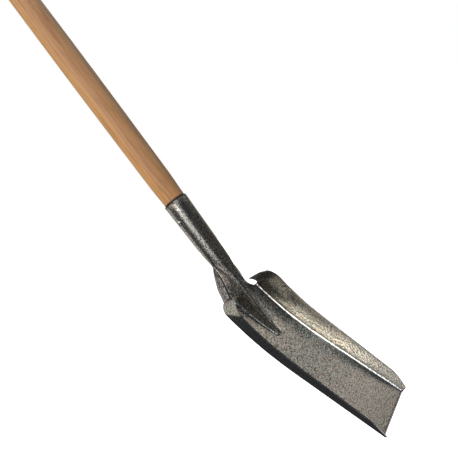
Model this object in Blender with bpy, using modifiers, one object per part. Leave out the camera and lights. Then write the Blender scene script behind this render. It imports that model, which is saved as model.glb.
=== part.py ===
"""A narrow trenching shovel: a pressed steel head with a rolled socket, riveted to an ash handle.

Metres, +Z up along the handle. The open side of the blade faces -Y. Every shape is drawn about
the heel, which is the point of the handle's axis level with the top of the blade, and then all
of it is lowered together, so that the origin is where a rack's clip grips the handle.
"""
import math

import bmesh
import bpy
from mathutils import Vector

# Sheet steel of the head, and the room between pieces that touch
SHEET = 0.0018
FIT_GAP = 0.0003

# Rolled socket
SOCKET_LENGTH = 0.1235
SOCKET_MOUTH_DIAMETER = 0.0426
THROAT_DIAMETER = 0.0378
SEAM_GAP = 0.0016
SEAM_LENGTH = 0.055
THROAT_FLANGE_ANGLE = math.radians(99)
SEAM_OPENING_POWER = 1.4

# Neck, from the throat of the socket down to the heel
NECK_LENGTH = 0.0725
WAIST_HEIGHT = 0.0290
WAIST_WIDTH = 0.0660
WING_DEPTH_AT_THROAT = 0.0015
WING_DEPTH_AT_WAIST = 0.0135
WING_SPREAD_POWER = 1.35
HEEL_DEPTH = 0.0175
HEEL_RISE = 0.0070
HEEL_ROUNDING = 0.0070
RELIEF_INNER_WIDTH = 0.0832
RELIEF_OUTLINE_POWER = 3.0
RELIEF_DEPTH = 0.0040
RELIEF_LIP = 0.0025

# Blade floor
BLADE_LENGTH = 0.3317
BLADE_FLAT_WIDTH = 0.0974
CURVED_LENGTH = 0.1637
HEEL_ANGLE = math.radians(11.5)
LIFT_ANGLE = math.radians(32.1)

# Side walls
WALL_HEEL_HEIGHT = 0.0515
WALL_MIDDLE_HEIGHT = 0.0418
WALL_MIDDLE_PLACE = 0.151
WALL_LOWER_HEIGHT = 0.0268
WALL_LOWER_PLACE = 0.289
WALL_TIP_HEIGHT = 0.0099
WALL_TIP_POWER = 1.6
WALL_LEAN = math.radians(12.5)
BEND_RADIUS = 0.0064

# Shoulders, where the tops of the walls roll inwards
SHOULDER_FOOT_START = 0.009
SHOULDER_FOOT_RADIUS = 0.0185
SHOULDER_FOOT_TURN = math.radians(70)
SHOULDER_RIM_START = 0.0316
SHOULDER_RIM_RADIUS = 0.043
SHOULDER_RIM_TURN = math.radians(51)
SHOULDER_RUN_IN = 0.060
SHOULDER_CORNER_HEIGHT = 0.0120
SHOULDER_CORNER_SHARE = 0.72
SHOULDER_FOOT_LIFT = 0.0018

# Raised ridge down the middle of the blade
RIDGE_LENGTH = 0.1045
RIDGE_END_LENGTH = 0.0080
RIDGE_CREST_SLOPE = 0.032
RIDGE_LEAST_RISE = 0.0048
RIDGE_CREST_RADIUS = 0.0070
RIDGE_PINCH_LENGTH = 0.0340
RIDGE_CREST_SHARE = 0.85
RIDGE_DRAFT = math.radians(14)
RIDGE_HEEL_FOOT_RADIUS = 0.0110
RIDGE_END_FOOT_RADIUS = 0.0040
RIDGE_FOOT_GROWTH = 0.030
RIDGE_END_HALF_WIDTH = 0.0040

# Ash handle
HANDLE_LENGTH = 1.200
HANDLE_IN_SOCKET = 0.110
HANDLE_SWELL_DIAMETER = 0.0410
HANDLE_SWELL_RISE = 0.045
HANDLE_SWELL_LENGTH = 0.130
HANDLE_TAPER_LENGTH = 0.350
HANDLE_GRIP_DIAMETER = 0.0355
HANDLE_END_ROUND = 0.0080

# Rivet through the socket and the handle
RIVET_BELOW_MOUTH = 0.0335
RIVET_DIAMETER = 0.0056
RIVET_HEAD_DIAMETER = 0.0088
RIVET_HEAD_HEIGHT = 0.0023
RIVET_TAIL_DIAMETER = 0.0080
RIVET_TAIL_HEIGHT = 0.0014

# Grip of a rack's clip, measured down from the top of the handle
CLIP_BELOW_TOP = 0.280

# Fineness of the shapes, in faces
CREST_FACES = 8
FLANK_FACES = 3
FILLET_FACES = 3
FLAT_FACES = 3
BEND_FACES = 4
WALL_FACES = 4
TURNED_FACES = 32
BORE_FACES = 24
ROUND_FACES = 5
EASE_FACES = 7
SOCKET_ROW_COUNT = 4
FLANGE_ROW_COUNT = 12
NECK_ROW_COUNT = 8
WAIST_ROW_COUNT = 2
HEEL_ROW_COUNT = 6
SHOULDER_ROW_COUNT = 6
FREE_SHOULDER_ROW_COUNT = 9
RIDGE_ROW_COUNT = 3
RIDGE_END_ROW_COUNT = 4
LOWER_ROW_COUNT = 3
TIP_ROW_COUNT = 5
CREST_REACH = math.radians(78)
SMOOTH_ANGLE = math.radians(32)

# Sizes that follow from the ones above
THROAT_HEIGHT = NECK_LENGTH
MOUTH_HEIGHT = THROAT_HEIGHT + SOCKET_LENGTH
THROAT_RADIUS = THROAT_DIAMETER / 2
MOUTH_RADIUS = SOCKET_MOUTH_DIAMETER / 2
SEAM_BOTTOM = MOUTH_HEIGHT - SEAM_LENGTH
BEND_ANGLE = math.pi / 2 - WALL_LEAN
BEND_SETBACK = BEND_RADIUS * math.tan(BEND_ANGLE / 2)
WALL_FOOT_X = BLADE_FLAT_WIDTH / 2
FLAT_EDGE_X = WALL_FOOT_X - BEND_SETBACK
HANDLE_BOTTOM = MOUTH_HEIGHT - HANDLE_IN_SOCKET
HANDLE_TOP = HANDLE_BOTTOM + HANDLE_LENGTH
RIVET_HEIGHT = MOUTH_HEIGHT - RIVET_BELOW_MOUTH
BORE_DIAMETER = RIVET_DIAMETER + 2 * FIT_GAP
BORE_LENGTH = SOCKET_MOUTH_DIAMETER * 2
MERGE_DISTANCE = SHEET / 100
CLIP_HEIGHT = HANDLE_TOP - CLIP_BELOW_TOP


def blend(start, end, share):
    return start + (end - start) * share


def ease(share):
    """Ease in and out between 0 and 1."""
    share = min(max(share, 0.0), 1.0)
    return share * share * (3 - 2 * share)


def steps(start, end, count):
    """Values from start to end, without the first."""
    return [blend(start, end, (k + 1) / count) for k in range(count)]


# The sheet's middle line, seen from the side

def floor_angle(s):
    """Slope of the blade's floor at the distance s below the heel, leaning towards the front."""
    share = min(s / CURVED_LENGTH, 1.0)
    return blend(HEEL_ANGLE, LIFT_ANGLE, share)


def floor_point(s):
    """Depth y and height z of the floor at the distance s below the heel."""
    curved = min(s, CURVED_LENGTH)
    bend = (LIFT_ANGLE - HEEL_ANGLE) / CURVED_LENGTH
    angle = floor_angle(curved)
    y = HEEL_DEPTH - (math.cos(HEEL_ANGLE) - math.cos(angle)) / bend
    z = -(math.sin(angle) - math.sin(HEEL_ANGLE)) / bend
    straight = s - curved
    return y - straight * math.sin(LIFT_ANGLE), z - straight * math.cos(LIFT_ANGLE)


def heel_corner():
    """The rearmost line of the head, where the floor meets the wings."""
    y = HEEL_DEPTH + HEEL_RISE * math.sin(HEEL_ANGLE)
    z = HEEL_RISE * math.cos(HEEL_ANGLE)
    return y, z


def wing_point(z):
    """Depth of the wings at the height z, before the heel is rounded."""
    corner_y, corner_z = heel_corner()
    if z > WAIST_HEIGHT:
        share = (z - WAIST_HEIGHT) / (THROAT_HEIGHT - WAIST_HEIGHT)
        return blend(WING_DEPTH_AT_WAIST, WING_DEPTH_AT_THROAT, share)
    share = (z - corner_z) / (WAIST_HEIGHT - corner_z)
    return blend(corner_y, WING_DEPTH_AT_WAIST, share)


def spine_point(s):
    """Depth and height of the sheet at s: the floor below, the wings above, a rounded heel."""
    corner_y, corner_z = heel_corner()
    top = -HEEL_RISE - HEEL_ROUNDING
    bottom = -HEEL_RISE + HEEL_ROUNDING
    if s >= bottom:
        return floor_point(s)
    if s <= top:
        z = corner_z - (s + HEEL_RISE)
        return wing_point(z), z
    share = (s - top) / (bottom - top)
    upper_z = corner_z + HEEL_ROUNDING
    upper_y = wing_point(upper_z)
    lower_y, lower_z = floor_point(bottom)
    a = (1 - share) ** 2
    b = 2 * share * (1 - share)
    c = share ** 2
    return a * upper_y + b * corner_y + c * lower_y, a * upper_z + b * corner_z + c * lower_z


def section_tilt(s):
    """Lean of a section's own plane: level at the throat, square to the floor on the blade."""
    if s >= 0:
        return floor_angle(s)
    throat_s = throat_place()
    return HEEL_ANGLE * (1 - s / throat_s)


def throat_place():
    """The throat's place along the spine, counted like s and so below zero."""
    return -(THROAT_HEIGHT - heel_corner()[1]) - HEEL_RISE


def to_space(s, x, rise):
    """A point of the section at s, x to the side and rise above the sheet's face."""
    y, z = spine_point(s)
    tilt = section_tilt(s)
    return Vector((x, y - rise * math.cos(tilt), z + rise * math.sin(tilt)))


# The ridge, the wings and the floor

def crest_radius(s):
    below = s - throat_place()
    return RIDGE_CREST_RADIUS + (THROAT_RADIUS - RIDGE_CREST_RADIUS) * math.exp(-below / RIDGE_PINCH_LENGTH)


def crest_rise(s):
    """Height of the ridge's crest above the face, which runs on from the front of the socket."""
    y, z = spine_point(s)
    crest_y = -THROAT_RADIUS + RIDGE_CREST_SLOPE * (THROAT_HEIGHT - z)
    rise = max((y - crest_y) / math.cos(section_tilt(s)), RIDGE_LEAST_RISE)
    start = RIDGE_LENGTH - RIDGE_END_LENGTH
    if s > start:
        share = min((s - start) / RIDGE_END_LENGTH, 1.0)
        rise = rise * math.sqrt(1 - share * share)
    return rise


def foot_radius(s):
    """Radius of the hollow between the ridge and the floor: nothing at the throat, widest at the heel."""
    share = min(max(s / RIDGE_LENGTH, 0.0), 1.0)
    radius = blend(RIDGE_HEEL_FOOT_RADIUS, RIDGE_END_FOOT_RADIUS, share)
    return radius * (1 - math.exp((throat_place() - s) / RIDGE_FOOT_GROWTH))


def wing_edge(s):
    """Half width of the wings, from the throat down to the relief beside the blade."""
    z = spine_point(s)[1]
    if z > WAIST_HEIGHT:
        share = (THROAT_HEIGHT - z) / (THROAT_HEIGHT - WAIST_HEIGHT)
        spread = 1 - (1 - min(share, 1.0)) ** WING_SPREAD_POWER
        return blend(THROAT_RADIUS, WAIST_WIDTH / 2, spread)
    share = (WAIST_HEIGHT - z) / (WAIST_HEIGHT - floor_point(RELIEF_DEPTH)[1])
    return blend(WAIST_WIDTH / 2, RELIEF_INNER_WIDTH / 2, share ** RELIEF_OUTLINE_POWER)


def along(points, count):
    """Points spaced evenly along a line of points, without the first."""
    lengths = [0.0]
    for a, b in zip(points, points[1:]):
        lengths.append(lengths[-1] + math.dist(a, b))
    result = []
    for place in steps(0.0, lengths[-1], count):
        k = 1
        while k < len(lengths) - 1 and lengths[k] < place:
            k += 1
        span = lengths[k] - lengths[k - 1]
        share = (place - lengths[k - 1]) / span
        ax, ah = points[k - 1]
        bx, bh = points[k]
        result.append((blend(ax, bx, share), blend(ah, bh, share)))
    return result


def ridge_profile(s, edge_x):
    """Half a section from the crest to the edge of the flat, as (x, rise) pairs."""
    top = crest_rise(s)
    radius = crest_radius(s)
    below = s - throat_place()
    foot = foot_radius(s)
    draft = RIDGE_DRAFT * ease(below / NECK_LENGTH)
    drop = top - (radius + foot) * (1 - math.sin(draft))
    if drop > 0:
        arc = math.pi / 2 - draft
        leg = drop / math.cos(draft)
    else:
        arc = math.acos(1 - top / (radius + foot))
        leg = 0.0
    reach = min(CREST_REACH, arc * RIDGE_CREST_SHARE)
    crest = []
    for angle in [0.0] + steps(0.0, reach, CREST_FACES):
        crest.append((radius * math.sin(angle), top - radius + radius * math.cos(angle)))
    flank = [crest[-1]]
    for angle in steps(reach, arc, FLANK_FACES):
        flank.append((radius * math.sin(angle), top - radius + radius * math.cos(angle)))
    last_x, last_rise = flank[-1]
    foot_x = last_x + leg * math.cos(arc) + foot * math.sin(arc)
    if leg > 0:
        flank.append((last_x + leg * math.cos(arc), last_rise - leg * math.sin(arc)))
    fillet = []
    for angle in steps(arc, 0.0, FILLET_FACES):
        fillet.append((foot_x - foot * math.sin(angle), foot - foot * math.cos(angle)))
    flat = [(x, 0.0) for x in steps(foot_x, edge_x, FLAT_FACES)]
    return crest + along(flank, FLANK_FACES) + fillet + flat


def flat_profile(edge_x, joined):
    """Half a section of the floor below the ridge; joined points merge on the middle line."""
    count = CREST_FACES + FLANK_FACES + FILLET_FACES
    if joined:
        inner = [0.0] * count + [RIDGE_END_HALF_WIDTH]
    else:
        inner = [0.0] + steps(0.0, RIDGE_END_HALF_WIDTH, count)
    return [(x, 0.0) for x in inner + steps(RIDGE_END_HALF_WIDTH, edge_x, FLAT_FACES)]


# The walls and their rolled shoulders

def wall_height(s):
    """Height of a wall along its own slope."""
    if s < WALL_MIDDLE_PLACE:
        return blend(WALL_HEEL_HEIGHT, WALL_MIDDLE_HEIGHT, s / WALL_MIDDLE_PLACE)
    if s < WALL_LOWER_PLACE:
        share = (s - WALL_MIDDLE_PLACE) / (WALL_LOWER_PLACE - WALL_MIDDLE_PLACE)
        return blend(WALL_MIDDLE_HEIGHT, WALL_LOWER_HEIGHT, share)
    share = (s - WALL_LOWER_PLACE) / (BLADE_LENGTH - WALL_LOWER_PLACE)
    return blend(WALL_LOWER_HEIGHT, WALL_TIP_HEIGHT, share ** WALL_TIP_POWER)


def blade_frame(s):
    """Origin and face direction of the unbent floor at s, also above the blade's top edge."""
    if s >= 0:
        y, z = floor_point(s)
        tilt = floor_angle(s)
    else:
        tilt = HEEL_ANGLE
        y = HEEL_DEPTH - s * math.sin(tilt)
        z = -s * math.cos(tilt)
    return y, z, tilt


def blade_space(s, x, rise):
    y, z, tilt = blade_frame(s)
    return Vector((x, y - rise * math.cos(tilt), z + rise * math.sin(tilt)))


def wall_foot(turn):
    """Point where the wall leaves its bend, as s, x and rise; turn runs along the shoulder."""
    out = FLAT_EDGE_X + BEND_RADIUS * math.sin(BEND_ANGLE)
    angle = turn * SHOULDER_FOOT_TURN
    x = out - SHOULDER_FOOT_RADIUS * (1 - math.cos(angle))
    s = SHOULDER_FOOT_START - SHOULDER_FOOT_RADIUS * math.sin(angle)
    rise = BEND_RADIUS * (1 - math.cos(BEND_ANGLE)) + SHOULDER_FOOT_LIFT * turn * turn
    return s, x, rise


def wall_rim(turn):
    """Point of the rim that belongs to the same turn of the shoulder."""
    slope = wall_height(SHOULDER_RIM_START)
    angle = turn * SHOULDER_RIM_TURN
    x = WALL_FOOT_X + slope * math.sin(WALL_LEAN) - SHOULDER_RIM_RADIUS * (1 - math.cos(angle))
    s = SHOULDER_RIM_START - SHOULDER_RIM_RADIUS * math.sin(angle)
    return s, x, slope * math.cos(WALL_LEAN)


def shoulder_row(turn):
    """A line of points up the rolled part of a wall, from its foot to its rim."""
    foot = blade_space(*wall_foot(turn))
    rim = blade_space(*wall_rim(turn))
    past = max(turn - SHOULDER_CORNER_SHARE, 0.0) / (1 - SHOULDER_CORNER_SHARE)
    cut_off = SHOULDER_CORNER_HEIGHT * (1 - math.sqrt(1 - min(past, 1.0) ** 2))
    top = 1 - cut_off / (rim - foot).length
    return [foot] + [foot.lerp(rim, share) for share in steps(0.0, top, WALL_FACES)]


def wall_row(s):
    """The bend and the wall beside the floor at s, as points in space."""
    row = []
    for angle in steps(0.0, BEND_ANGLE, BEND_FACES):
        x = FLAT_EDGE_X + BEND_RADIUS * math.sin(angle)
        rise = BEND_RADIUS * (1 - math.cos(angle))
        row.append(blade_space(s, x, rise))
    if s < SHOULDER_FOOT_START:
        turn = math.asin((SHOULDER_FOOT_START - s) / SHOULDER_FOOT_RADIUS) / SHOULDER_FOOT_TURN
        wall = shoulder_row(turn)
        row[-1] = wall[0]
        return row + wall[1:]
    share = (SHOULDER_RUN_IN - s) / (SHOULDER_RUN_IN - SHOULDER_FOOT_START)
    slant = (SHOULDER_RIM_START - SHOULDER_FOOT_START) * ease(share)
    slope = wall_height(s + slant)
    rim_x = WALL_FOOT_X + slope * math.sin(WALL_LEAN)
    rim = blade_space(s + slant, rim_x, slope * math.cos(WALL_LEAN))
    return row + [row[-1].lerp(rim, k) for k in steps(0.0, 1.0, WALL_FACES)]


def relief_turn():
    """Turn of the shoulder level with the lowest point of the relief."""
    drop = SHOULDER_FOOT_START - RELIEF_DEPTH - RELIEF_LIP
    return math.asin(drop / SHOULDER_FOOT_RADIUS) / SHOULDER_FOOT_TURN


# The rolled socket

def socket_coverage(z):
    """Half the angle that the rolled sheet covers at the height z."""
    closed = math.pi - SEAM_GAP / 2 / socket_radius(z)
    share = min(max((SEAM_BOTTOM - z) / (SEAM_BOTTOM - THROAT_HEIGHT), 0.0), 1.0)
    return blend(closed, THROAT_FLANGE_ANGLE, share ** (1 / SEAM_OPENING_POWER))


def socket_radius(z):
    return blend(THROAT_RADIUS, MOUTH_RADIUS, (z - THROAT_HEIGHT) / SOCKET_LENGTH)


def socket_row(z):
    """Half a ring of the socket, from its front line round to the seam."""
    cover = socket_coverage(z)
    radius = socket_radius(z)
    hidden = FLANK_FACES + FILLET_FACES + FLAT_FACES
    angles = [0.0] + steps(0.0, CREST_REACH, CREST_FACES) + steps(CREST_REACH, cover, hidden)
    return [Vector((radius * math.sin(a), -radius * math.cos(a), z)) for a in angles]


# The head

def row_places():
    """Heights of the socket's rows, and places of the neck's and the blade's."""
    socket = [MOUTH_HEIGHT] + steps(MOUTH_HEIGHT, SEAM_BOTTOM, SOCKET_ROW_COUNT)
    for share in steps(0.0, 1.0, FLANGE_ROW_COUNT):
        socket.append(blend(SEAM_BOTTOM, THROAT_HEIGHT, share ** SEAM_OPENING_POWER))
    throat = throat_place()
    top = -HEEL_RISE - HEEL_ROUNDING
    waist = -WAIST_HEIGHT + heel_corner()[1] - HEEL_RISE
    neck = steps(throat, waist, NECK_ROW_COUNT)[:-1] + [waist] + steps(waist, top, WAIST_ROW_COUNT)
    neck += steps(top, RELIEF_DEPTH, HEEL_ROW_COUNT)
    nose = RIDGE_LENGTH - RIDGE_END_LENGTH
    blade = [RELIEF_DEPTH + RELIEF_LIP, SHOULDER_FOOT_START]
    blade += steps(SHOULDER_FOOT_START, SHOULDER_RUN_IN, SHOULDER_ROW_COUNT)
    blade += steps(SHOULDER_RUN_IN, nose, RIDGE_ROW_COUNT)
    angles = steps(0.0, math.pi / 2, RIDGE_END_ROW_COUNT)
    blade += [nose + RIDGE_END_LENGTH * math.sin(angle) for angle in angles]
    middle = sorted([WALL_MIDDLE_PLACE, CURVED_LENGTH])
    lower = [(RIDGE_LENGTH + middle[0]) / 2] + middle
    lower += steps(middle[1], WALL_LOWER_PLACE, LOWER_ROW_COUNT)
    lower += steps(WALL_LOWER_PLACE, BLADE_LENGTH, TIP_ROW_COUNT)
    return socket, neck, blade, lower


def half_rows():
    """Rows of points for one half of the head's face side, from the mouth to the tip."""
    socket, neck, blade, lower = row_places()
    rows = [socket_row(z) for z in socket]
    for s in neck:
        rows.append([to_space(s, x, rise) for x, rise in ridge_profile(s, wing_edge(s))])
    for s in blade[:-1]:
        middle = [to_space(s, x, rise) for x, rise in ridge_profile(s, FLAT_EDGE_X)]
        rows.append(middle + wall_row(s))
    rows.append(flat_row(blade[-1], False))
    for s in lower:
        rows.append(flat_row(s, True))
    return rows


def flat_row(s, joined):
    floor = [blade_space(s, x, rise) for x, rise in flat_profile(FLAT_EDGE_X, joined)]
    return floor + wall_row(s)


def shoulder_rows():
    """Rows of the free part of a shoulder, from beside the relief round to its tip."""
    start = relief_turn()
    return [shoulder_row(turn) for turn in steps(start, 1.0, FREE_SHOULDER_ROW_COUNT)]


def add_strip(sheet, rows, side):
    """Faces between rows of points that start at the same column."""
    made = []
    for row in rows:
        made.append([sheet.verts.new((side * p.x, p.y, p.z)) for p in row])
    for upper, lower in zip(made, made[1:]):
        for k in range(min(len(upper), len(lower)) - 1):
            corners = [upper[k], lower[k], lower[k + 1], upper[k + 1]]
            if side < 0:
                corners.reverse()
            sheet.faces.new(corners)


def head_sheet():
    """The head's face side as one open sheet without thickness."""
    sheet = bmesh.new()
    rows = half_rows()
    socket, neck, blade, lower = row_places()
    first_wall_row = rows[len(socket) + len(neck)]
    wall_start = len(first_wall_row) - WALL_FACES - 1
    free_rows = [first_wall_row[wall_start:]] + shoulder_rows()
    free_rows.reverse()
    for side in (1, -1):
        add_strip(sheet, rows, side)
        add_strip(sheet, free_rows, side)
    bmesh.ops.remove_doubles(sheet, verts=sheet.verts, dist=MERGE_DISTANCE)
    bmesh.ops.dissolve_degenerate(sheet, edges=sheet.edges, dist=MERGE_DISTANCE)
    mesh = bpy.data.meshes.new("head")
    sheet.to_mesh(mesh)
    sheet.free()
    return mesh


def build_head(parts, cutters):
    head = bpy.data.objects.new("head", head_sheet())
    parts.objects.link(head)
    place(head)
    thicken = head.modifiers.new("sheet", "SOLIDIFY")
    thicken.thickness = SHEET
    thicken.offset = -1
    thicken.use_even_offset = True
    bore = build_bore("head_bore", cutters)
    cut(head, bore)
    head.data.materials.append(paint_material())
    smooth(head)
    return head


# The handle

def handle_profile():
    """Half outline of the handle from the middle of its top end to the middle of its foot."""
    grip = HANDLE_GRIP_DIAMETER / 2
    swell = HANDLE_SWELL_DIAMETER / 2
    mouth = MOUTH_RADIUS - SHEET - FIT_GAP
    foot = socket_radius(HANDLE_BOTTOM) - SHEET - FIT_GAP
    swell_bottom = MOUTH_HEIGHT + HANDLE_SWELL_RISE
    swell_top = swell_bottom + HANDLE_SWELL_LENGTH
    taper_top = swell_top + HANDLE_TAPER_LENGTH
    points = [(0.0, HANDLE_TOP)]
    for angle in [0.0] + steps(0.0, math.pi / 2, ROUND_FACES):
        x = grip - HANDLE_END_ROUND * (1 - math.sin(angle))
        points.append((x, HANDLE_TOP - HANDLE_END_ROUND * (1 - math.cos(angle))))
    points.append((grip, taper_top))
    for share in steps(0.0, 1.0, EASE_FACES):
        points.append((blend(grip, swell, ease(share)), blend(taper_top, swell_top, share)))
    points.append((swell, swell_bottom))
    for share in steps(0.0, 1.0, EASE_FACES):
        points.append((blend(swell, mouth, ease(share)), blend(swell_bottom, MOUTH_HEIGHT, share)))
    points.append((foot, HANDLE_BOTTOM))
    points.append((0.0, HANDLE_BOTTOM))
    return points


def build_handle(parts, cutters):
    handle = turned("handle", handle_profile(), parts)
    place(handle)
    bore = build_bore("handle_bore", cutters)
    cut(handle, bore)
    handle.data.materials.append(wood_material())
    smooth(handle)
    return handle


# The rivet

def rivet_profile():
    """Half outline along the rivet, from its domed head to its flatter formed tail."""
    outside = socket_radius(RIVET_HEIGHT) + FIT_GAP
    head = RIVET_HEAD_DIAMETER / 2
    tail = RIVET_TAIL_DIAMETER / 2
    shank = RIVET_DIAMETER / 2
    points = [(0.0, outside + RIVET_HEAD_HEIGHT)]
    for angle in steps(0.0, math.pi / 2, ROUND_FACES):
        points.append((head * math.sin(angle), outside + RIVET_HEAD_HEIGHT * math.cos(angle)))
    points.append((shank, outside))
    points.append((shank, -outside))
    for angle in steps(math.pi / 2, 0.0, ROUND_FACES)[:-1]:
        points.append((tail * math.sin(angle), -outside - RIVET_TAIL_HEIGHT * math.cos(angle)))
    points.insert(-ROUND_FACES + 1, (tail, -outside))
    points.append((0.0, -outside - RIVET_TAIL_HEIGHT))
    return points


def build_rivet(parts):
    rivet = turned("rivet", rivet_profile(), parts)
    place(rivet)
    rivet.location.z += RIVET_HEIGHT
    rivet.rotation_euler = (0.0, -math.pi / 2, 0.0)
    rivet.data.materials.append(rivet_material())
    smooth(rivet)
    return rivet


# Shared ways of making a piece

def turned(name, profile, parts):
    """A solid turned about Z from a half outline that runs from its top to its foot."""
    mesh = bpy.data.meshes.new(name)
    points = [(x, 0.0, z) for x, z in profile]
    mesh.from_pydata(points, [(k, k + 1) for k in range(len(points) - 1)], [])
    piece = bpy.data.objects.new(name, mesh)
    parts.objects.link(piece)
    screw = piece.modifiers.new("turned", "SCREW")
    screw.axis = "Z"
    screw.angle = 2 * math.pi
    screw.steps = TURNED_FACES
    screw.render_steps = TURNED_FACES
    screw.use_merge_vertices = True
    screw.merge_threshold = MERGE_DISTANCE
    return piece


def build_bore(name, cutters):
    """A round cutter across the socket at the rivet's height."""
    bpy.ops.mesh.primitive_cylinder_add(
        vertices=BORE_FACES,
        radius=BORE_DIAMETER / 2,
        depth=BORE_LENGTH,
        rotation=(0.0, math.pi / 2, 0.0),
    )
    bore = bpy.context.object
    bore.name = name
    place(bore)
    bore.location.z += RIVET_HEIGHT
    for collection in list(bore.users_collection):
        collection.objects.unlink(bore)
    cutters.objects.link(bore)
    bore.display_type = "WIRE"
    bore.hide_render = True
    return bore


def cut(piece, cutter):
    boolean = piece.modifiers.new("bore", "BOOLEAN")
    boolean.operation = "DIFFERENCE"
    boolean.solver = "EXACT"
    boolean.object = cutter


def place(piece):
    """Lower a piece so that the clip's grip on the handle comes to the origin."""
    piece.location = (0.0, 0.0, -CLIP_HEIGHT)


def smooth(piece):
    """Smooth shading that keeps the edges of the sheet and the turned corners crisp."""
    piece.data.shade_smooth()
    piece.data.set_sharp_from_angle(angle=SMOOTH_ANGLE)


def material(name, colour, roughness, metallic):
    made = bpy.data.materials.new(name)
    made.use_nodes = True
    shader = made.node_tree.nodes["Principled BSDF"]
    shader.inputs["Base Color"].default_value = (*colour, 1.0)
    shader.inputs["Roughness"].default_value = roughness
    shader.inputs["Metallic"].default_value = metallic
    return made


def paint_material():
    return material("hammered_grey_paint", (0.165, 0.162, 0.160), 0.36, 0.55)


def wood_material():
    return material("ash_wood", (0.640, 0.390, 0.185), 0.50, 0.0)


def rivet_material():
    return material("painted_rivet_steel", (0.190, 0.187, 0.185), 0.30, 0.65)


def build():
    for old in list(bpy.data.objects):
        bpy.data.objects.remove(old, do_unlink=True)
    parts = bpy.data.collections.new("trenching_shovel")
    cutters = bpy.data.collections.new("cutters")
    cutters.hide_render = True
    bpy.context.scene.collection.children.link(parts)
    bpy.context.scene.collection.children.link(cutters)
    build_head(parts, cutters)
    build_handle(parts, cutters)
    build_rivet(parts)


build()
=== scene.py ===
# %% [markdown]
# Dressing a trenching shovel for its picture
#
# The shovel has three pieces: a head pressed and rolled from one sheet of steel and sprayed with
# grey hammered paint, a long ash handle, and the rivet that holds them together. Their shapes come
# from a imported model, the frame. This script gives each piece its finished surface, sets up a
# camera and soft studio light, and leaves every size as it is. The frame is loaded first, and its
# box is kept.

import math

import bpy
from mathutils import Matrix, Vector


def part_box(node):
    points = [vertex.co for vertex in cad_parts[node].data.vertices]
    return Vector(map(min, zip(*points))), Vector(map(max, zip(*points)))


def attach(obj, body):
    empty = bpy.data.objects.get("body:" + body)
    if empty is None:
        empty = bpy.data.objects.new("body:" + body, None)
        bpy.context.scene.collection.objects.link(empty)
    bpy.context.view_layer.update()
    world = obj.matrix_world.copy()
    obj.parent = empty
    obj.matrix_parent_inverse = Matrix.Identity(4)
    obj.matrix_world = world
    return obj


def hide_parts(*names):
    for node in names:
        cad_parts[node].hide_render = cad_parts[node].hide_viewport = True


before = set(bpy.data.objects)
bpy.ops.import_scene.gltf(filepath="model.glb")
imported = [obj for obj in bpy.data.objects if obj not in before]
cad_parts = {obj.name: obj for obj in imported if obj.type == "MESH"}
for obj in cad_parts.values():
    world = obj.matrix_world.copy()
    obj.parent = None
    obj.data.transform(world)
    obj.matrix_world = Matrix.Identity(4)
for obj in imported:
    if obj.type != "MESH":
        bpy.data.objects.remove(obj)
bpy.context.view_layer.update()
bpy.ops.object.select_all(action="DESELECT")
print("frame:", ", ".join(sorted(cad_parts)))

# %% [markdown]
# Where things are
#
# The head is pictured from close by, so everything is placed about its heel: the point on the
# handle's axis that is level with the top of the blade. The socket's mouth is the highest point
# of the head, and the heel lies a neck and a socket below it. Working from the frame's own box
# keeps camera and light on the shovel wherever its origin is.

# %% Find the heel and the mouth
NECK_AND_SOCKET = 0.196
MOUTH_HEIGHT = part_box("head")[1][2]
HEEL_HEIGHT = MOUTH_HEIGHT - NECK_AND_SOCKET
HEEL = Vector((0.0, 0.0, HEEL_HEIGHT))
TIP_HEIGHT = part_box("head")[0][2]
print("mouth at", round(MOUTH_HEIGHT, 4), "m")
print("heel at", round(HEEL_HEIGHT, 4), "m and tip at", round(TIP_HEIGHT, 4), "m")

# %% [markdown]
# The camera
#
# The picture was taken close to the head and from its left, a little from above, with the camera
# rolled so that the long handle leaves through a corner. Three angles and a distance place it:
# the turn round the handle, the height above the horizon, the roll, and how far it stands from
# the heel. The lens follows from how large the head is in the picture, and a small shift puts the
# heel on its pixel.

# %% Camera
IMAGE_WIDTH = 458
SENSOR_WIDTH = 36.0
CAMERA_TURN = math.radians(37.26)
CAMERA_HEIGHT_ANGLE = math.radians(11.77)
CAMERA_ROLL = math.radians(36.82)
CAMERA_DISTANCE = 0.61585
CAMERA_AIM_BELOW_HEEL = 0.0027
PIXELS_PER_METRE = 558.96
AIM_PIXEL_X = 245.08
AIM_PIXEL_Y = 294.33


def camera_axes(turn, height_angle, roll):
    """Right, up and backward directions of a camera that looks at the heel."""
    flat = math.cos(height_angle)
    back = Vector((-math.sin(turn) * flat, -math.cos(turn) * flat, math.sin(height_angle)))
    level = Vector((math.cos(turn), -math.sin(turn), 0.0))
    upright = back.cross(level)
    right = level * math.cos(roll) - upright * math.sin(roll)
    up = upright * math.cos(roll) + level * math.sin(roll)
    return right, up, back


def add_camera():
    data = bpy.data.cameras.new("camera")
    camera = bpy.data.objects.new("camera", data)
    bpy.context.scene.collection.objects.link(camera)
    right, up, back = camera_axes(CAMERA_TURN, CAMERA_HEIGHT_ANGLE, CAMERA_ROLL)
    aim = HEEL - Vector((0.0, 0.0, CAMERA_AIM_BELOW_HEEL))
    turned = Matrix((right, up, back)).transposed().to_4x4()
    camera.matrix_world = Matrix.Translation(aim + back * CAMERA_DISTANCE) @ turned
    data.sensor_fit = "HORIZONTAL"
    data.sensor_width = SENSOR_WIDTH
    data.lens = PIXELS_PER_METRE * CAMERA_DISTANCE / IMAGE_WIDTH * SENSOR_WIDTH
    data.shift_x = 0.5 - AIM_PIXEL_X / IMAGE_WIDTH
    data.shift_y = AIM_PIXEL_Y / IMAGE_WIDTH - 0.5
    data.clip_start = 0.01
    bpy.context.scene.camera = camera
    return camera


camera = add_camera()
print("camera lens", round(camera.data.lens, 2), "mm")
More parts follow.
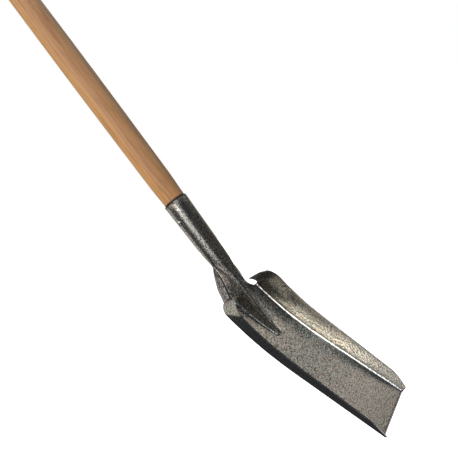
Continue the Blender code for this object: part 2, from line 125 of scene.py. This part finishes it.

# %% [markdown]
# The floor
#
# The shovel is pictured against plain white. A wide pale floor that glows by itself gives the
# same even white below it from every side. A metal would show such a floor as one bright sheet,
# so the floor is hidden from the shovel's reflections and from the light that falls on it.

# %% Floor
FLOOR_DROP = 0.30
FLOOR_WIDTH = 40.0
FLOOR_PAINT = (0.9, 0.9, 0.9, 1.0)
FLOOR_ROUGHNESS = 0.9
WHITE = (1.0, 1.0, 1.0, 1.0)
SCENE = bpy.context.scene
SCENE.view_settings.view_transform = "Standard"


def new_material(name):
    made = bpy.data.materials.new(name)
    made.use_nodes = True
    nodes = made.node_tree.nodes
    return made, nodes, made.node_tree.links, nodes["Principled BSDF"]


def add_floor():
    bpy.ops.mesh.primitive_plane_add(size=FLOOR_WIDTH, location=(0, 0, TIP_HEIGHT - FLOOR_DROP))
    floor = bpy.context.object
    floor.name = "floor"
    made, nodes, links, shader = new_material("pale_floor")
    shader.inputs["Base Color"].default_value = FLOOR_PAINT
    shader.inputs["Roughness"].default_value = FLOOR_ROUGHNESS
    shader.inputs["Emission Color"].default_value = WHITE
    shader.inputs["Emission Strength"].default_value = 1.0
    floor.data.materials.append(made)
    floor.visible_diffuse = False
    floor.visible_glossy = False
    floor.select_set(False)
    return floor


add_floor()
print("floor", FLOOR_DROP, "m below the tip")

# %% [markdown]
# The room
#
# The paint is full of metal flake, and a metal shows what stands around it, so a shovel that is
# lit by white alone looks like chalk. Here the camera sees a white room, while the light that
# falls on the shovel comes from a nearly dark one with soft panels in it. The key panels stand
# low on the left: they draw the gleam down the socket and along the bends, and by way of the
# blade's floor they brighten the far wall. Weaker ones go right round, so that no side is black,
# two lie near the ground and light the blade's floor from below, and a wide one overhead lights
# the wood. A panel is placed by its turn round the shovel, counted from the front towards the
# left, and by its height over the horizon.

# %% The panels
ROOM_TONE = (0.034, 0.036, 0.041)
PANELS = {
    # name: turn, half its width, height, half its height, softness (degrees), colour
    "key": (62.5, 12.5, 15, 5, 6, (6.20, 5.90, 5.25)),
    "above the key": (75, 25, 26, 6, 6, (3.30, 2.85, 2.50)),
    "beside the key": (37.5, 12.5, 21, 11, 6, (1.30, 1.45, 1.60)),
    "near the key": (44, 6, 14, 5, 6, (0.80, 0.70, 0.70)),
    "under the key": (64, 20, -1, 9, 20, (0.66, 0.66, 0.65)),
    "high left": (82.5, 57.5, 39, 7, 6, (1.00, 1.00, 1.05)),
    "left wall": (108, 26, -2, 10, 14, (0.03, 0.03, 0.03)),
    "far left": (120, 20, 21, 11, 6, (0.70, 0.75, 0.55)),
    "behind": (160, 20, 18, 28, 6, (0.43, 0.42, 0.365)),
    "behind right": (-150, 30, 18, 28, 6, (0.31, 0.25, 0.23)),
    "right wall": (-100, 20, 11, 21, 6, (0.14, 0.12, 0.08)),
    "right panel": (-65, 15, 21, 11, 6, (0.85, 0.93, 0.98)),
    "above the fill": (-37.5, 12.5, 26, 6, 6, (0.22, 0.205, 0.19)),
    "right fill": (-37.5, 12.5, 15, 5, 6, (0.53, 0.48, 0.42)),
    "front": (-15, 65, -5, 6, 8, (0.033, 0.028, 0.020)),
    "high right": (-47.5, 72.5, 39, 7, 6, (0.90, 0.96, 0.93)),
    "ground right": (-30, 30, -33.5, 11.5, 20, (0.57, 0.55, 0.54)),
    "ground left": (90, 30, -33.5, 11.5, 20, (0.80, 0.725, 0.69)),
    "overhead": (30, 180, 71, 25, 6, (0.95, 0.93, 1.03)),
}
print("soft panels:", ", ".join(PANELS))

# %% [markdown]
# One panel
#
# A world is painted by direction alone. For each panel the direction becomes two angles: how far
# it lies aside of the panel's middle, and how far above it. Each angle goes through a band that is
# 1 on the panel and falls smoothly to 0 at its edge, as the light of a real softbox does, and the
# two bands multiplied give the panel's shape. Real area lamps could stand there instead, but they
# would show in the picture, and a painted direction is the same for every part of the shovel.

# %% Nodes for one panel


def math_node(nodes, links, operation, *values):
    """A math node; a value is a number or another node's output."""
    node = nodes.new("ShaderNodeMath")
    node.operation = operation
    for socket, value in zip(node.inputs, values):
        if isinstance(value, (int, float)):
            socket.default_value = value
        else:
            links.new(value, socket)
    return node.outputs[0]


def dot_node(nodes, links, direction, axis):
    """How far a direction or place lies along an axis."""
    node = nodes.new("ShaderNodeVectorMath")
    node.operation = "DOT_PRODUCT"
    links.new(direction, node.inputs[0])
    node.inputs[1].default_value = axis
    return node.outputs["Value"]


def map_range(nodes, links, value, start, end, low=0.0, high=1.0, kind="LINEAR"):
    """Low where the value is at start, high where it is at end, and between them in between."""
    node = nodes.new("ShaderNodeMapRange")
    node.interpolation_type = kind
    links.new(value, node.inputs["Value"])
    node.inputs["From Min"].default_value = start
    node.inputs["From Max"].default_value = end
    node.inputs["To Min"].default_value = low
    node.inputs["To Max"].default_value = high
    return node.outputs["Result"]


def soft_band(nodes, links, angle, half, softness):
    """1 where the angle is within half of zero, falling smoothly to 0 over the softness."""
    size = math_node(nodes, links, "ABSOLUTE", angle)
    start = half - softness / 2
    end = half + softness / 2
    return map_range(nodes, links, size, start, end, low=1.0, high=0.0, kind="SMOOTHSTEP")


def panel_light(nodes, links, direction, turn, half_width, height, half_height, softness, colour):
    """The colour of one soft panel in every direction, black outside it."""
    turn = math.radians(turn)
    ahead = (-math.sin(turn), -math.cos(turn), 0.0)
    aside = (-math.cos(turn), math.sin(turn), 0.0)
    across = math_node(nodes, links, "ARCTAN2", dot_node(nodes, links, direction, aside),
                       dot_node(nodes, links, direction, ahead))
    rise = math_node(nodes, links, "ARCSINE", dot_node(nodes, links, direction, (0.0, 0.0, 1.0)))
    rise = math_node(nodes, links, "SUBTRACT", rise, math.radians(height))
    soft = math.radians(softness)
    level = math_node(nodes, links, "MULTIPLY",
                      soft_band(nodes, links, across, math.radians(half_width), soft),
                      soft_band(nodes, links, rise, math.radians(half_height), soft))
    tint = nodes.new("ShaderNodeVectorMath")
    tint.operation = "SCALE"
    tint.inputs[0].default_value = colour
    links.new(level, tint.inputs["Scale"])
    return tint.outputs[0]


# %% [markdown]
# The world
#
# The panels are added up over the room's own dark tone. The Light Path node then tells the two
# rooms apart: a ray that comes straight from the camera meets plain white, and every other ray,
# on its way to light the shovel, meets the dark room with its panels.

# %% World


def add_world(seen, tone, panels):
    """A world that is plain white to the camera and a dim room with soft panels to the shovel."""
    world = bpy.data.worlds.new("white room")
    world.use_nodes = True
    nodes = world.node_tree.nodes
    links = world.node_tree.links
    nodes.clear()
    output = nodes.new("ShaderNodeOutputWorld")
    switch = nodes.new("ShaderNodeMixShader")
    path = nodes.new("ShaderNodeLightPath")
    room = nodes.new("ShaderNodeBackground")
    white = nodes.new("ShaderNodeBackground")
    direction = nodes.new("ShaderNodeTexCoord").outputs["Generated"]
    total = None
    for panel in panels.values():
        light = panel_light(nodes, links, direction, *panel)
        add = nodes.new("ShaderNodeVectorMath")
        add.operation = "ADD"
        if total is None:
            add.inputs[0].default_value = tone
        else:
            links.new(total, add.inputs[0])
        links.new(light, add.inputs[1])
        total = add.outputs[0]
    links.new(total, room.inputs["Color"])
    white.inputs["Color"].default_value = seen
    links.new(path.outputs["Is Camera Ray"], switch.inputs[0])
    links.new(room.outputs[0], switch.inputs[1])
    links.new(white.outputs[0], switch.inputs[2])
    links.new(switch.outputs[0], output.inputs["Surface"])
    SCENE.world = world
    return world


world = add_world(WHITE, ROOM_TONE, PANELS)
print("world:", len(world.node_tree.nodes), "nodes")

# %% [markdown]
# Starting from the frame's shapes
#
# The frame is made of small flat facets, good for measuring and plain to look at. Each piece here
# starts as a copy of one of its nodes. The copy's loose triangles are merged and joined back to
# four-sided faces, because four-sided faces subdivide evenly and triangles leave small dents.

# %% Copy a node
MERGE_DISTANCE = 0.00001
QUAD_FOLD_ANGLE = math.radians(40)
QUAD_SHAPE_ANGLE = math.radians(70)


def copy_of_node(node_name, piece_name):
    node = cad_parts[node_name]
    mesh = node.data.copy()
    mesh.name = piece_name
    mesh.materials.clear()
    piece = bpy.data.objects.new(piece_name, mesh)
    SCENE.collection.objects.link(piece)
    bpy.ops.object.select_all(action="DESELECT")
    piece.select_set(True)
    bpy.context.view_layer.objects.active = piece
    bpy.ops.object.mode_set(mode="EDIT")
    bpy.ops.mesh.select_all(action="SELECT")
    bpy.ops.mesh.remove_doubles(threshold=MERGE_DISTANCE)
    bpy.ops.mesh.tris_convert_to_quads(
        face_threshold=QUAD_FOLD_ANGLE,
        shape_threshold=QUAD_SHAPE_ANGLE,
    )
    bpy.ops.object.mode_set(mode="OBJECT")
    return piece


# %% [markdown]
# Rounding the edges and smoothing
#
# A cut edge is never quite sharp: deburring and paint leave it a small rounding that catches the
# light. The sharp edges are picked by their angle and bevelled, and the bevelled places are marked
# in an attribute, because the finish paints them lighter later: partly paint worn thin on the
# edges, partly a painted highlight. One level of subdivision then turns the facets into even
# curves. The frame's shape is kept, and the finished piece stays inside its box.

# %% Round edges, smooth and hand over
SHARP_ANGLE = math.radians(38)
SMOOTH_ANGLE = math.radians(50)


def round_edges(piece, width, segments):
    """Bevel sharp edges; mark the new faces' corners in an attribute for wear and painted
    highlight.
    """
    mesh = piece.data
    bpy.ops.object.mode_set(mode="EDIT")
    bpy.ops.mesh.select_mode(type="EDGE")
    bpy.ops.mesh.select_all(action="DESELECT")
    bpy.ops.mesh.edges_select_sharp(sharpness=SHARP_ANGLE)
    bpy.ops.mesh.bevel(offset=width, segments=segments, clamp_overlap=True)
    bpy.ops.object.mode_set(mode="OBJECT")
    wear_and_highlight = mesh.attributes.new("edge_wear_and_highlight", "FLOAT", "POINT")
    marked = 0
    for vertex in mesh.vertices:
        wear_and_highlight.data[vertex.index].value = 1.0 if vertex.select else 0.0
        marked += vertex.select
    return marked


def subdivide(piece, levels):
    smooth = piece.modifiers.new("smooth", "SUBSURF")
    smooth.levels = levels
    smooth.render_levels = levels
    bpy.ops.object.modifier_apply(modifier=smooth.name)
    bpy.ops.object.shade_smooth_by_angle(angle=SMOOTH_ANGLE)


def finish_piece(piece, node_name, finish):
    piece.data.materials.clear()
    piece.data.materials.append(finish)
    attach(piece, "root")
    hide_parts(node_name)
    piece.select_set(False)
    print(piece.name, len(piece.data.polygons), "faces")


# %% [markdown]
# Tools for finishes
#
# A finish is built from a few kinds of node again and again: noise, a ramp that turns a number
# into a colour, an attribute of the mesh, and a mix of two colours. Each gets a short function
# here, so that the finishes below read as a list of what lies on the surface.

# %% Nodes for finishes
MIX_AMOUNT, MIX_FIRST, MIX_SECOND, MIX_RESULT = 0, 6, 7, 2


def ramp(nodes, links, value, stops):
    """A colour ramp with the given places and colours, read at the value."""
    node = nodes.new("ShaderNodeValToRGB")
    points = node.color_ramp.elements
    while len(points) < len(stops):
        points.new(0.5)
    for point, (place, colour) in zip(points, stops):
        point.position = place
        point.color = (*colour, 1.0)
    links.new(value, node.inputs["Fac"])
    return node.outputs["Color"]


def grey(level):
    return (level, level, level)


def noise(nodes, links, place, scale, detail, roughness):
    node = nodes.new("ShaderNodeTexNoise")
    links.new(place, node.inputs["Vector"])
    node.inputs["Scale"].default_value = scale
    node.inputs["Detail"].default_value = detail
    node.inputs["Roughness"].default_value = roughness
    return node.outputs["Fac"]


def attribute(nodes, name):
    node = nodes.new("ShaderNodeAttribute")
    node.attribute_name = name
    return node.outputs["Fac"]


def mix(nodes, links, first, second, amount, blend="MIX"):
    """Mix two colours; each of them and the amount is a value or another node's output."""
    node = nodes.new("ShaderNodeMix")
    node.data_type = "RGBA"
    node.blend_type = blend
    for place, value in ((MIX_FIRST, first), (MIX_SECOND, second), (MIX_AMOUNT, amount)):
        if isinstance(value, bpy.types.NodeSocket):
            links.new(value, node.inputs[place])
        else:
            node.inputs[place].default_value = value
    return node.outputs[MIX_RESULT]


def add_bump(nodes, links, shader, height, strength, distance):
    node = nodes.new("ShaderNodeBump")
    node.inputs["Strength"].default_value = strength
    node.inputs["Distance"].default_value = distance
    links.new(height, node.inputs["Height"])
    links.new(node.outputs["Normal"], shader.inputs["Normal"])


# %% [markdown]
# Hammered paint
#
# Hammered paint is metal flake in a lacquer that pulls itself into small dimples as it dries.
# Up close it is a net of darker, lower lines around lighter islands two or three millimetres wide.
# A smooth Voronoi pattern has that net, and noise of about the same size gives the dark and bright
# specks of the flake between. Both drive the colour and the bump, while a wider noise casts the
# grey a little warm here and cool there. The rounded edges, which the attribute from the bevel
# shows, are painted lighter: partly paint rubbed thin, partly a painted highlight. A second
# attribute paints shade over the socket's mouth, where the gap between steel and wood lies.

# %% Hammered paint
PAINT_FLAKE = 0.0019
PAINT_DIMPLE = 0.0023
DIMPLE_SMOOTHNESS = 0.35
ISLANDS = [(0.15, (1.0, 0.98, 0.94)), (0.5, (0.74, 0.725, 0.70)), (0.8, grey(0.12))]
SPECKS = [(0.40, (0.02, 0.02, 0.022)), (0.49, (0.62, 0.60, 0.57)), (0.56, (1.0, 0.97, 0.92))]
SHARE_OF_SPECKS = 0.68
CAST_SIZE = 0.007
CASTS = [(0.38, (1.0, 0.94, 0.88)), (0.50, (1.0, 0.985, 0.96)), (0.62, (0.94, 1.0, 0.98))]
# The colour of the painted shade over the socket's mouth, where the gap between steel and wood
# lies.
MOUTH_SHADE_COLOUR = (0.02, 0.018, 0.016, 1.0)
# The lighter colour of the rounded edges: partly worn paint, partly a painted highlight.
WORN_AND_HIGHLIGHT_COLOUR = (0.62, 0.61, 0.60, 1.0)
PAINT_ROUGHNESS = [(0.3, grey(0.12)), (0.7, grey(0.22))]
PAINT_BUMP = 0.00013


def dimple_net(nodes, links, place, size):
    node = nodes.new("ShaderNodeTexVoronoi")
    node.feature = "SMOOTH_F1"
    links.new(place, node.inputs["Vector"])
    node.inputs["Scale"].default_value = 1 / size
    node.inputs["Smoothness"].default_value = DIMPLE_SMOOTHNESS
    node.inputs["Randomness"].default_value = 1.0
    return node.outputs["Distance"]


def hammered_paint(name, flake_size, dimple_size):
    made, nodes, links, shader = new_material(name)
    place = nodes.new("ShaderNodeTexCoord").outputs["Object"]
    dimples = dimple_net(nodes, links, place, dimple_size)
    flake = noise(nodes, links, place, 1 / flake_size, detail=1.5, roughness=0.5)
    cast = noise(nodes, links, place, 1 / CAST_SIZE, detail=2.0, roughness=0.5)
    # Painted shade over the socket's mouth: the gap between steel and wood lies in shade.
    mouth_shade = attribute(nodes, "mouth_shade")
    # The rounded edges from the bevel, painted lighter: worn paint and a painted highlight.
    wear_and_highlight = attribute(nodes, "edge_wear_and_highlight")

    islands = ramp(nodes, links, dimples, ISLANDS)
    specks = ramp(nodes, links, flake, SPECKS)
    colour = mix(nodes, links, islands, specks, SHARE_OF_SPECKS)
    colour = mix(nodes, links, colour, ramp(nodes, links, cast, CASTS), 1.0, blend="MULTIPLY")
    # Paint the shade of the gap between steel and wood over the socket's mouth; the same mask
    # dulls the gloss.
    colour = mix(nodes, links, colour, MOUTH_SHADE_COLOUR, mouth_shade)
    # Lighter flecks along the rounded edges: partly worn paint, partly a painted highlight.
    rubbed_and_highlighted = math_node(nodes, links, "MULTIPLY", wear_and_highlight, flake)
    colour = mix(nodes, links, colour, WORN_AND_HIGHLIGHT_COLOUR, rubbed_and_highlighted)
    links.new(colour, shader.inputs["Base Color"])

    gloss = ramp(nodes, links, flake, PAINT_ROUGHNESS)
    dull = math_node(nodes, links, "MAXIMUM", gloss, mouth_shade)
    links.new(dull, shader.inputs["Roughness"])
    shader.inputs["Metallic"].default_value = 1.0
    height = math_node(nodes, links, "SUBTRACT", flake, dimples)
    add_bump(nodes, links, shader, height, strength=1.0, distance=PAINT_BUMP)
    return made


head_paint = hammered_paint("hammered_paint", PAINT_FLAKE, PAINT_DIMPLE)
print("hammered paint:", len(head_paint.node_tree.nodes), "nodes")

# %% [markdown]
# The head
#
# The head is one pressed sheet with cut edges all round, so its edges get the widest rounding,
# just under a quarter of the sheet. Every edge but the socket's mouth is painted lighter, partly
# as wear from hands and earth, partly as a painted highlight. At the mouth the gap between steel
# and wood lies in shade, so the lighter edges are taken off the last few millimetres under the
# mouth, and an attribute of painted shade fades out over the same stretch and dulls the paint
# there. An attribute is used rather than a second material, because it can fade.

# %% Head
HEAD_EDGE = 0.0004
# The painted shade under the mouth is full down to the first of these depths and gone at the
# second.
MOUTH_SHADE_FULL_TO = 0.0010
MOUTH_SHADE_FADES_AT = 0.0040


def shade_the_mouth(piece):
    """Take the lighter edges off the socket's mouth and fade painted shade in towards it."""
    mesh = piece.data
    mouth_shade = mesh.attributes.new("mouth_shade", "FLOAT", "POINT")
    wear_and_highlight = mesh.attributes["edge_wear_and_highlight"]
    shaded = 0
    for vertex in mesh.vertices:
        depth = MOUTH_HEIGHT - vertex.co.z
        if depth < MOUTH_SHADE_FADES_AT:
            wear_and_highlight.data[vertex.index].value = 0.0
            level = (MOUTH_SHADE_FADES_AT - depth) / (MOUTH_SHADE_FADES_AT - MOUTH_SHADE_FULL_TO)
            mouth_shade.data[vertex.index].value = min(1.0, level)
            shaded += 1
    return shaded


head = copy_of_node("head", "head_finished")
marked = round_edges(head, HEAD_EDGE, 2)
subdivide(head, 1)
shaded = shade_the_mouth(head)
finish_piece(head, "head", head_paint)
print("head corners on rounded edges:", marked, "and under the grime:", shaded)

# %% [markdown]
# Ash wood
#
# The growth rings of a tree are so much wider than a pole that they pass through it as nearly
# flat layers. Where they cut the round surface edge on, they show as close parallel lines, and
# where they touch it, they open into long wavy figures. A wave texture with a saw profile has such
# layers, pale on one side and dark on the other, and stretching it along the handle makes the
# waves long. Fine stretched noise adds the pores. The tone drifts from a light honey on one side
# to a darker pink on the other: partly the wood's own tone, partly painted light on the one side
# and painted shade on the other. The last millimetres above the socket are darkened with painted
# shade, for the gap between wood and steel.

# %% Ash wood
ALONG_THE_GRAIN = (1.0, 1.0, 0.06)
GRAIN_TILT = (math.radians(0.3), math.radians(0.2))
LAYERS_FACE = math.radians(7)
LAYER_THICKNESS = 0.0055
WAVE_TEXTURE_PERIOD = 2 * math.pi / 20
LAYERS = [
    (0.0, grey(1.0)),
    (0.55, (0.97, 0.93, 0.91)),
    (0.90, (0.77, 0.69, 0.66)),
    (1.0, grey(1.0)),
]
PORES_PER_METRE = 380.0
PORES = [(0.38, (0.84, 0.80, 0.76)), (0.52, grey(1.0))]
# The side of the pole painted darker and pinker: painted shade over the wood's own pink.
SHADED_PINK_SIDE = math.radians(-53)
HANDLE_RADIUS = 0.020
# A light honey on one side to a darker pink on the other: painted light and shade with the wood's
# own tone.
LIT_HONEY_TO_SHADED_PINK = [
    (0.05, (0.88, 0.49, 0.19)),
    (0.28, (0.77, 0.42, 0.17)),
    (0.40, (0.68, 0.355, 0.155)),
    (0.70, (0.74, 0.40, 0.175)),
    (0.88, (0.60, 0.35, 0.165)),
]
# The wood just above the socket's mouth is darkened: painted shade of the gap between wood and
# steel.
WOOD_SHADE_FROM = 0.0012
WOOD_SHADE_TO = 0.0034
WOOD_SHADE_TONE = 0.06
WOOD_ROUGHNESS = [(0.3, grey(0.52)), (0.7, grey(0.42))]
WOOD_BUMP = 0.0002


def stretch_along_grain(nodes, links, place):
    node = nodes.new("ShaderNodeMapping")
    node.inputs["Scale"].default_value = ALONG_THE_GRAIN
    node.inputs["Rotation"].default_value = (*GRAIN_TILT, LAYERS_FACE)
    links.new(place, node.inputs["Vector"])
    return node.outputs["Vector"]


def growth_layers(nodes, links, place):
    node = nodes.new("ShaderNodeTexWave")
    node.bands_direction = "Y"
    node.wave_profile = "SAW"
    links.new(place, node.inputs["Vector"])
    node.inputs["Scale"].default_value = WAVE_TEXTURE_PERIOD / LAYER_THICKNESS
    node.inputs["Distortion"].default_value = 7.0
    node.inputs["Detail"].default_value = 2.0
    node.inputs["Detail Scale"].default_value = 2.2
    node.inputs["Detail Roughness"].default_value = 0.55
    return node.outputs["Fac"]


def ash_wood(name):
    made, nodes, links, shader = new_material(name)
    place = nodes.new("ShaderNodeTexCoord").outputs["Object"]
    grain = stretch_along_grain(nodes, links, place)
    rings = growth_layers(nodes, links, grain)
    streaks = noise(nodes, links, grain, PORES_PER_METRE, detail=4.0, roughness=0.6)

    # Painted light and shade across the pole: lighter on one side, darker on the other.
    shaded_pink_side = (-math.sin(SHADED_PINK_SIDE), -math.cos(SHADED_PINK_SIDE), 0.0)
    aside = dot_node(nodes, links, place, shaded_pink_side)
    lit_to_shaded = map_range(nodes, links, aside, -HANDLE_RADIUS, HANDLE_RADIUS)
    height = dot_node(nodes, links, place, (0.0, 0.0, 1.0))
    # Painted shade on the wood just above the socket's mouth.
    shade_from = MOUTH_HEIGHT + WOOD_SHADE_FROM
    shade_to = MOUTH_HEIGHT + WOOD_SHADE_TO
    wood_shade = map_range(nodes, links, height, shade_from, shade_to, low=WOOD_SHADE_TONE)

    colour = ramp(nodes, links, lit_to_shaded, LIT_HONEY_TO_SHADED_PINK)
    for layer in (ramp(nodes, links, rings, LAYERS), ramp(nodes, links, streaks, PORES), wood_shade):
        colour = mix(nodes, links, colour, layer, 1.0, blend="MULTIPLY")
    links.new(colour, shader.inputs["Base Color"])
    links.new(ramp(nodes, links, streaks, WOOD_ROUGHNESS), shader.inputs["Roughness"])
    add_bump(nodes, links, shader, streaks, strength=0.25, distance=WOOD_BUMP)
    return made


wood = ash_wood("ash_wood")
print("ash wood:", len(wood.node_tree.nodes), "nodes")

# %% [markdown]
# The handle
#
# The handle is one turned pole with a rounded end, so it needs only a light rounding where its
# foot and the rivet's hole were cut. Its satin lacquer is thin enough to leave the pores open,
# which the small bump and the uneven gloss in the wood's finish show.

# %% Handle
HANDLE_EDGE = 0.0003
handle = copy_of_node("handle", "handle_finished")
round_edges(handle, HANDLE_EDGE, 1)
subdivide(handle, 1)
finish_piece(handle, "handle", wood)

# %% [markdown]
# The rivet
#
# The rivet was painted together with the head, so it has the same paint. On so small a piece the
# paint pulls itself smooth, which finer flakes and wider dimples show, and its edges are rounded
# by only a tenth of a millimetre.

# %% Rivet
RIVET_EDGE = 0.0001
RIVET_FLAKE = 0.0012
RIVET_DIMPLE = 0.0040
rivet = copy_of_node("rivet", "rivet_finished")
round_edges(rivet, RIVET_EDGE, 1)
subdivide(rivet, 1)
rivet_paint = hammered_paint("rivet_paint", RIVET_FLAKE, RIVET_DIMPLE)
finish_piece(rivet, "rivet", rivet_paint)
